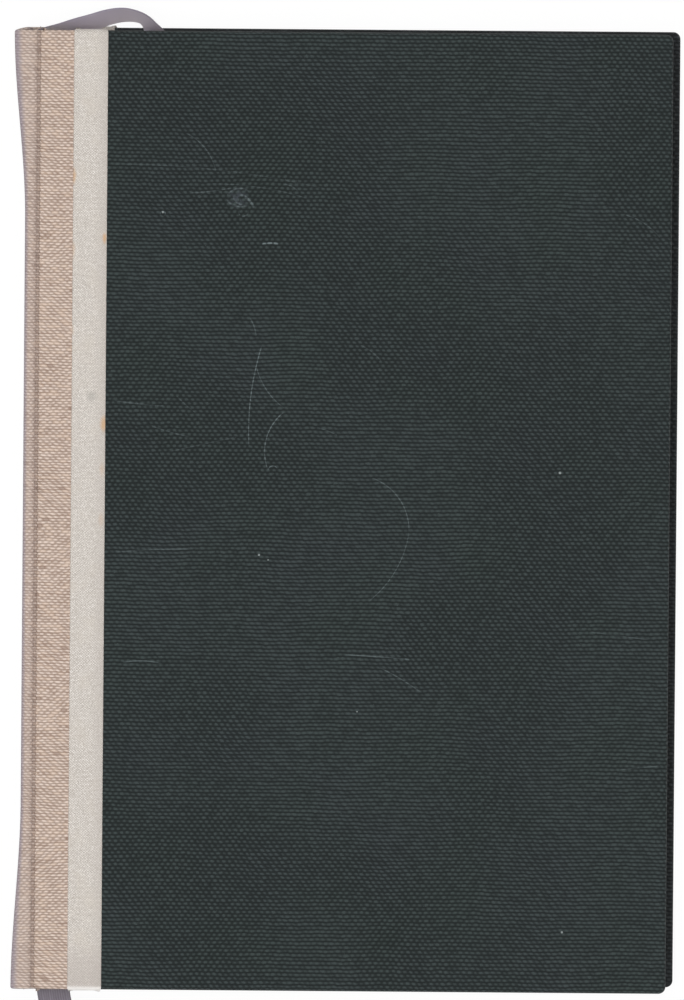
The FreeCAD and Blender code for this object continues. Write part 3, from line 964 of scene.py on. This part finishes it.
def linen_material():
    """Natural linen: warm grey threads with slubs and painted shade between them, dusty on the spine,
    with painted shade in the joint's groove, on from it over the spine, and round the spine's corner.
    """
    finish = Finish("natural_linen")
    where, across, along, from_back = flat_place(finish)
    thread, chance, uneven = weave(
        finish, across, along, linen_pitch, wander=0.15, slant=0.5, leaning=-0.16
    )
    fuzz = finish.noise(finish.point(across * 2.4, along * 11.0, 0.0), 1.0, 2.0, 0.65)
    slub = finish.noise(finish.point(across * 0.16, along * 2.4, 5.0), 1.0, 2.0, 0.6)
    lit = thread * (chance * 0.5 + 0.66) + (fuzz - 0.5) * 0.6 + (slub - 0.5) * 0.9 + uneven * 0.3
    look = finish.mix(finish.span(lit, -0.15, 0.95), linen_dark, linen_pale)
    look = finish.mix(finish.span(chance, 0.6, 0.95) * 0.3, look, linen_warm)
    look = finish.mix(finish.span(chance, 0.982, 0.988) * 0.5, look, linen_fleck)
    # Painted shade: a quarter greyer from the groove on over the spine.
    look = finish.mix(finish.span(across, 11.3, 12.3) * 0.25, look, linen_spine_side_shade)
    # Round the spine's corner, painted shade: the weave is evened out to a flat colour, then
    # multiplied by a shadow tint.
    rolled = finish.span(from_back, 0.01, 0.08) * finish.span(from_back, 0.12, 0.42, 1.0, 0.0)
    look = finish.mix(rolled * 0.45, look, linen_rolled)
    look = finish.mix(rolled * 0.9, look, rolled_shadow, "MULTIPLY")
    handled = finish.span(finish.noise(where, 0.07, 2.0, 0.6), 0.35, 0.7)
    handled = handled * finish.span(from_back, 0.0, 0.08, 0.45, 0.0)
    look = finish.mix(handled, look, handled_soil, "MULTIPLY")
    # Painted shade along the floor of the joint's groove.
    from_groove = finish.sum("ABSOLUTE", across - groove_run)
    look = finish.mix(finish.span(from_groove, 0.20, 0.75, 0.36, 0.0), look, groove_painted_shade)
    return finish.coat(
        height=thread + fuzz * 0.3 + slub * 0.3, depth=0.7, distance=0.2 * mm,
        Base_Color=look, Roughness=0.88, Specular_IOR_Level=0.2, Sheen_Weight=0.08,
    )


linen = linen_material()
for side, flip in (("front", False), ("back", True)):
    def linen_place(u, y, z, turned=flip):
        """A point of this cover's linen, in the book's frame."""
        return at(u, y, thick - z if turned else z)

    grid, flats = wrapped_sheet(
        linen_profile, fold_depth, linen_place, 96, linen_end_round, turned_in, case_end
    )
    cloth = sheet_piece(
        side + "_linen", grid, flats, linen, cloth_thick, flip, rim=False
    )
    fold_x = hinge[side + "_hinge"].x
    side + "_cover"
    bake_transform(cloth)
    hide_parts(side + "_joint_linen", "spine_linen")


# The trim strips. A narrow cream strip of finely ribbed cloth is glued over the meeting of
# linen and canvas on each cover, and turned over the board at head and tail. It has yellow
# spots along its edges and a grey thumb mark.

strip_pitch = (0.30, 0.27)
strip_low, strip_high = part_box("front_strip")
strip_start = strip_low.x - joint_x
strip_width = strip_high.x - strip_low.x
strip_end_mm = (strip_start + strip_width) / mm
strip_thick = 0.25 * mm
strip_end_round = 0.9 * mm
strip_turn_in = 2.6 * mm
strip_droop, droop_width = 0.10 * mm, 0.18 * mm
strip_dark, strip_pale = shade(176, 167, 158), shade(248, 243, 237)
strip_cloud = shade(205, 196, 184)
strip_edge_shade = shade(186, 178, 171)
strip_tail_shade = shade(178, 168, 162)
strip_fold_highlight = shade(250, 246, 242)
stain_colour = shade(204, 160, 112)
thumb_colour = shade(150, 146, 140)

# Each stain is a place in the photograph's frame, a size in millimetres, and a strength.
stains = [
    (73, 176, 2.4, 0.7), (72, 250, 2.4, 0.4), (104.5, 238, 1.6, 0.8), (103.5, 424, 2.4, 0.75),
    (102, 470, 2.0, 0.25), (101, 520, 2.0, 0.2), (72, 330, 1.6, 0.25),
]
stain_narrowing = 2.6
thumb_place = (92, 396)


def strip_profile(y):
    """The strip's outer line, a little rounded down at both edges."""
    line = []
    for share in (1.0, 0.985, 0.95, 0.88, 0.75, 0.6, 0.45, 0.3, 0.15, 0.06, 0.02, 0.0):
        edge = min(share, 1 - share) * strip_width
        drop = strip_droop * math.exp(-edge / droop_width) + 0.02 * mm * gentle(share * 0.01, y * 2)
        line.append((strip_start + strip_width * share, strip_high.z - drop))
    return line


def strip_material():
    """Cream ribbed cloth with its stains, painted shade towards its edge by the canvas and above the
    fold at the tail, and a painted highlight on that fold.
    """
    finish = Finish("cream_strip")
    where, across, along, _ = flat_place(finish)
    thread, chance, _ = weave(
        finish, across, along, strip_pitch, wander=0.10, slant=0.3, leaning=0.0
    )
    fuzz = finish.noise(where, 4.0, 2.0, 0.65)
    cloud = finish.noise(where, 0.16, 2.0, 0.6)
    lit = thread * (chance * 0.3 + 0.5) + (fuzz - 0.5) * 1.3 + 0.1
    look = finish.mix(finish.span(lit, 0.0, 1.0), strip_dark, strip_pale)
    look = finish.mix(finish.span(cloud, 0.45, 0.75) * 0.4, look, strip_cloud)
    # Painted shade where the strip rounds down towards the canvas.
    look = finish.mix(finish.span(across, 0.3, 3.0, 1.0, 0.0) * 0.5, look, strip_edge_shade)
    # Painted shade in a band above the fold at the tail.
    look = finish.mix(finish.span(along, -99.0, -91.0, 1.0, 0.0) * 0.45, look, strip_tail_shade)
    # A painted highlight on the satin fold at the tail.
    fold_highlight = finish.span(along + fuzz * 0.8, -102.5, -101.6, 1.0, 0.0) * 0.85
    look = finish.mix(fold_highlight, look, strip_fold_highlight)
    narrowed = finish.point(across * stain_narrowing, along, 0.0)
    edge = finish.noise(where, 0.8, 3.0, 0.6)
    for x, y, size, strength in stains:
        u, v = from_photo(x, y)
        away = away_from(finish, narrowed, (strip_end_mm - u) * stain_narrowing, v)
        mask = finish.span(away + edge * 1.4, size * 0.5, size + 0.8, strength, 0.0)
        look = finish.mix(mask, look, stain_colour)
    u, v = from_photo(*thumb_place)
    away = away_from(finish, where, strip_end_mm - u, v)
    look = finish.mix(finish.span(away + edge * 1.2, 1.0, 2.4, 0.45, 0.0), look, thumb_colour)
    return finish.coat(
        height=thread + fuzz * 0.5, depth=0.45, distance=0.07 * mm,
        Base_Color=look, Roughness=0.55, Specular_IOR_Level=0.35, Sheen_Weight=0.12,
    )


cream = strip_material()
for side, flip in (("front", False), ("back", True)):
    def strip_place(u, y, z, turned=flip):
        """A point of this cover's strip, in the book's frame."""
        height = thick - z if turned else z
        return Vector((joint_x + u + (lean if turned else 0.0), y, height))

    grid, flats = wrapped_sheet(
        strip_profile, lambda u: strip_high.z - strip_low.z, strip_place, 60,
        strip_end_round, strip_turn_in, strip_high.y,
    )
    band = sheet_piece(side + "_trim", grid, flats, cream, strip_thick, flip)
    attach(band, side + "_cover")
    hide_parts(side + "_strip")


# The pages. The sewn leaves, trimmed together at head, tail and fore-edge, with the slightly
# hollow fore-edge and uneven leaf edges of a read book, toned a little at the edges.

leaf_count = 92
leaf_gap = 0.05 * mm
leaf_unevenness = 0.05 * mm
section_unevenness = 0.03 * mm
leaves_in_section = 8
pages_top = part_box("text_block")[1].z
stack_low, stack_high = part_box("back_flyleaf")[1].z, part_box("front_flyleaf")[0].z
page_start = -0.3 * mm
fore_edge = 132.5 * mm
fore_hollow = 0.4 * mm
fore_steps = 16
corner_cut = 0.3 * mm
slot_half = 3.6 * mm
slot_wall = 0.05 * mm
slot_height = 0.45 * mm
slot_depth = 5.0 * mm
slot_places = {1: head_leaf_u * mm, -1: tail_leaf_u * mm}
block_depth = 1.75 * mm
shoulder_round = 0.58 * mm
back_steps = 12


def leaf_offset(k, spot):
    """How far leaf k stands back from the trimmed edge at a spot along it."""
    own = math.sin(k * 12.9898) * 43758.5453
    own -= math.floor(own)
    section = math.sin((k // leaves_in_section) * 4.7 + spot * 60) * section_unevenness
    return own * leaf_unevenness + section + leaf_unevenness


def page_columns():
    """Places round the trimmed edges: along the head, down the fore-edge, back along the tail."""
    ends = {}
    for side, centre in slot_places.items():
        stops = {page_start, fore_edge - corner_cut}
        stops |= {u * mm for u in (30, 50, 70, 90, 110, 125)}
        for way in (-1, 1):
            stops |= {centre + way * slot_half, centre + way * (slot_half - slot_wall)}
        ends[side] = [(u, side * page_end, side) for u in sorted(stops)]
    fore = [page_end * (1 - 2 * i / fore_steps) for i in range(1, fore_steps)]
    fore = [page_end - corner_cut, *fore, corner_cut - page_end]
    return ends[1] + [(fore_edge, y, 0) for y in fore] + ends[-1][::-1]


def page_rows():
    """Heights up the leaf edges, as (z, leaf, inset), with a fine gap between leaves."""
    rows = []
    leaf = (stack_high - stack_low) / leaf_count
    for k in range(leaf_count):
        low = stack_low + k * leaf
        rows.append((low + 0.02 * mm, k, 0.0))
        rows.append((low + leaf - 0.03 * mm, k, 0.0))
        rows.append((low + leaf - 0.005 * mm, k, leaf_gap))
    return rows


def spine_outline():
    """The rounded, backed back of the pages: from one shoulder to the other."""
    edge = spine_crown - block_depth
    bend = pages_top - shoulder_round
    shoulder = [
        (-0.28 * mm, stack_high), (-0.5 * mm, stack_high), (-0.5 * mm, pages_top - 0.1 * mm),
        (-0.55 * mm, pages_top),
    ]
    shoulder += arc_points(edge + shoulder_round, bend, shoulder_round, 90, 180, 5)
    back = []
    for k in range(1, back_steps):
        z = bend + (thick - 2 * bend) * k / back_steps
        share = (z - middle) / (bend - middle)
        back.append((edge - spine_crown * (1 - share * share), z))
    return shoulder + back + [(u, thick - z) for u, z in reversed(shoulder)]


def in_ribbon_slot(u, z, side):
    """Whether a place on the head or tail is where the leaves part for the ribbon."""
    across = abs(u - slot_places[side]) < slot_half - slot_wall / 2
    return across and abs(z - leaf_z * mm) < slot_height / 2


columns = page_columns()
rows = page_rows()
page_points, page_flats = [], []
for z, k, gap in rows:
    bow = fore_hollow * (1 - ((z - middle) / (stack_high - middle)) ** 2)
    gone = 0.0
    last = columns[0][:2]
    for u, y, side in columns:
        inset = leaf_offset(k, u if side else y) + gap
        if side:
            inset += slot_depth if in_ribbon_slot(u, z, side) else 0.0
            spot = at(min(u, fore_edge - corner_cut - bow), y - side * inset, z)
        else:
            spot = at(u - bow - inset, y, z)
        gone += math.dist((u, y), last)
        last = (u, y)
        page_points.append(spot)
        page_flats.append((gone / mm, z / mm, k / 10))
page_faces = []
wide = len(columns)
for r in range(len(rows) - 1):
    for c in range(wide - 1):
        a = r * wide + c
        page_faces.append((a, a + wide, a + wide + 1, a + 1))
page_faces.append(tuple(range(wide)))
page_faces.append(tuple((len(rows) - 1) * wide + c for c in reversed(range(wide))))

spine_line = spine_outline()
start, count = len(page_points), len(spine_line)
for y in (page_end, -page_end):
    for u, z in spine_line:
        page_points.append(at(u, y, z))
        page_flats.append((u / mm, z / mm, 0.0))
for a in range(start, start + count - 1):
    page_faces.append((a, a + 1, a + count + 1, a + count))
page_faces.append(tuple(reversed(range(start, start + count))))
page_faces.append(tuple(range(start + count, start + 2 * count)))

paper_dark, paper_pale = shade(204, 193, 170), shade(236, 228, 210)
paper_leaf = shade(182, 168, 142)
paper_toned = shade(188, 166, 128)
paper = Finish("page_edges")
where, across, height_mm, leaf_number = flat_place(paper)
streak = paper.noise(
    paper.point(across * 0.12, height_mm * 5.0, 0.0), 1.0, 4.0, 0.65
)
leaf_tone = paper.node("ShaderNodeTexWhiteNoise", {"noise_dimensions": "1D"}, W=leaf_number)
cloud = paper.noise(where, 0.05, 3.0, 0.6)
paper_look = paper.mix(streak, paper_dark, paper_pale)
paper_look = paper.mix(leaf_tone * 0.3, paper_look, paper_leaf)
paper_look = paper.mix(paper.span(cloud, 0.5, 0.75) * 0.3, paper_look, paper_toned)
paper.coat(
    height=streak, depth=0.4, distance=0.05 * mm,
    Base_Color=paper_look, Roughness=0.9, Specular_IOR_Level=0.15,
)
pages = make_piece(
    "page_block", page_points, page_faces, paper.owner, "block", smooth=False
)
stamp_points(pages, page_flats)
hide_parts("text_block")


# The endpapers. One folded sheet of plain, smooth off-white paper at each end: half is pasted
# down inside the board, half is the first leaf, and the fold between them lines the joint.

endpaper_dark, endpaper_pale = shade(222, 214, 197), shade(235, 229, 214)
endpaper_toned = shade(214, 198, 166)
endsheet = Finish("endpaper")
endpaper_place = endsheet.node("ShaderNodeTexCoord", output="Object")
fibre = endsheet.noise(endpaper_place, 1400.0, 4.0, 0.6)
toned = endsheet.noise(endpaper_place, 60.0, 3.0, 0.7)
endpaper_look = endsheet.mix(fibre, endpaper_dark, endpaper_pale)
endpaper_look = endsheet.mix(
    endsheet.span(toned, 0.52, 0.8) * 0.22, endpaper_look, endpaper_toned
)
endsheet.coat(
    height=fibre, depth=0.25, distance=0.03 * mm,
    Base_Color=endpaper_look, Roughness=0.85, Specular_IOR_Level=0.2,
)

paper_thick = 0.2 * mm
fold_half = 0.42 * mm
fold_top = 26.78 * mm
fold_shoulder = 0.2 * mm
fold_foot = 0.6 * mm
fold_steps = 40
fold_short = 0.6 * mm
fold_side = [(-fold_half, fold_top - fold_foot), (-fold_half, fold_top - fold_shoulder)]
fold_line = fold_side + arc_points(0.0, fold_top - fold_shoulder / 2, fold_half, 180, 0, 10)
fold_line += [(-u, z) for u, z in reversed(fold_side)]
for side, flip in (("front", False), ("back", True)):
    for half in ("_pastedown", "_flyleaf"):
        dress(side + half, endsheet.owner)
    fold_x = hinge[side + "_hinge"].x
    grid, flats = [], []
    for i in range(fold_steps + 1):
        y = (page_end - fold_short) * (2 * i / fold_steps - 1)
        grid.append([Vector((fold_x + u, y, thick - z if flip else z)) for u, z in fold_line])
        flats.append([(u / mm, y / mm, 0.0) for u, z in fold_line])
    gutter = sheet_piece(
        side + "_endpaper_fold", grid, flats, endsheet.owner, paper_thick, not flip
    )
    side + "_cover"
    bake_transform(gutter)


# Inside the spine. Starched gauze and brown lining paper are glued round the sewn backs, the
# gauze runs on under each pastedown, and a strip of grey card stiffens the linen.

gauze_threads = 6200.0
mull_hole, mull_thread = shade(150, 134, 108), shade(226, 218, 200)
gauze = Finish("mull")
mull_x, mull_y, mull_z = gauze.parts(gauze.node("ShaderNodeTexCoord", output="Object"))
warp = gauze.sum("SINE", mull_y * gauze_threads)
weft = gauze.sum("SINE", (mull_x + mull_z) * gauze_threads)
net = gauze.sum("MAXIMUM", warp, weft)
gauze.coat(
    height=net, depth=0.6, distance=0.1 * mm,
    Base_Color=gauze.mix(gauze.span(net, 0.3, 0.9), mull_hole, mull_thread),
    Roughness=0.9,
)
lining_dark, lining_pale = shade(140, 110, 78), shade(172, 140, 104)
lining = Finish("lining_paper")
lining_place = lining.node("ShaderNodeTexCoord", output="Object")
lining_grain = lining.noise(lining_place, 700.0, 4.0, 0.6)
lining.coat(
    height=lining_grain, depth=0.3, distance=0.05 * mm,
    Base_Color=lining.mix(lining_grain, lining_dark, lining_pale), Roughness=0.88,
)
for node in ("spine_mull", "front_mull_flap", "back_mull_flap"):
    dress(node, gauze.owner)
dress("spine_lining", lining.owner)
dress("spine_card", greyboard.owner)


# The headbands. A bead of thread in two colours, cream and grey mauve, sewn over a core at
# each end of the sewn backs, with a cloth tape glued down behind it.

bead_radius = 0.9 * mm
bead_thread = 0.62 * mm
threads_in_stripe = 3
bead_sides = 16
bead_steps = 160
bead_short = 0.1 * mm
tape_thick = 0.3 * mm
tape_short = 0.6 * mm
tape_up, tape_down = 0.5 * mm, 11.0 * mm
tape_steps = 12
cream_thread, mauve_thread = shade(222, 214, 200), shade(120, 112, 122)
strand_gap_shade = shade(90, 82, 78)
silk = Finish("headband_thread")
thread_run = flat_place(silk)[3]
stripe_number = silk.sum("FLOOR", thread_run / (threads_in_stripe * bead_thread / mm))
stripe = silk.sum("FLOORED_MODULO", stripe_number, 2.0)
strand = silk.sum("SINE", thread_run * (4 * math.pi * mm / bead_thread)) * 0.5 + 0.5
band_look = silk.mix(stripe, cream_thread, mauve_thread)
# Painted shade in the valleys between the strands.
band_look = silk.mix((1 - strand) * 0.35, band_look, strand_gap_shade)
silk.coat(
    height=strand, depth=0.6, distance=0.08 * mm,
    Base_Color=band_look, Roughness=0.55, Sheen_Weight=0.2,
)
for side, name in ((1, "head_band"), (-1, "tail_band")):
    low_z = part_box(name)[0].z + bead_short
    high_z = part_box(name)[1].z - bead_short
    rings, bead_flats = [], []
    for i in range(bead_steps + 1):
        z = low_z + (high_z - low_z) * i / bead_steps
        swell = 0.95 * (1 + 0.07 * abs(math.sin(math.pi * (z - low_z) / bead_thread)))
        taper = min(1.0, 0.75 + 0.25 * min(i, bead_steps - i) / 4)
        radius = bead_radius * swell * taper
        ring = []
        for k in range(bead_sides):
            a = 2 * math.pi * k / bead_sides
            ring.append(at(
                bead_radius - block_depth - tape_thick + radius * math.cos(a),
                side * (page_end + bead_radius) + radius * math.sin(a),
                z,
            ))
            bead_flats.append((0.0, k * 0.35, (z - low_z) / mm))
        rings.append(ring)
    points, faces = tube(rings)
    start = len(points)
    tape_line = []
    for k in range(tape_steps + 1):
        z = low_z + tape_short + (high_z - low_z - 2 * tape_short) * k / tape_steps
        share = (z - middle) / (high_z - middle)
        tape_line.append((spine_crown * share * share - block_depth - 0.02 * mm, z))
    for y in (side * (page_end + tape_up), side * (page_end - tape_down)):
        for back in (0.0, tape_thick * 0.9):
            points += [at(u - back, y, z) for u, z in tape_line]
            bead_flats += [(0.0, 0.0, 0.5)] * len(tape_line)
    n = len(tape_line)
    for a in range(start, start + n - 1):
        faces += [
            (a, a + 1, a + 2 * n + 1, a + 2 * n),
            (a + n, a + 3 * n, a + 3 * n + 1, a + n + 1),
            (a, a + n, a + n + 1, a + 1),
            (a + 2 * n, a + 2 * n + 1, a + 3 * n + 1, a + 3 * n),
        ]
    bead = make_piece(name + "_thread", points, faces, silk.owner, "block")
    stamp_points(bead, bead_flats)
    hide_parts(name)
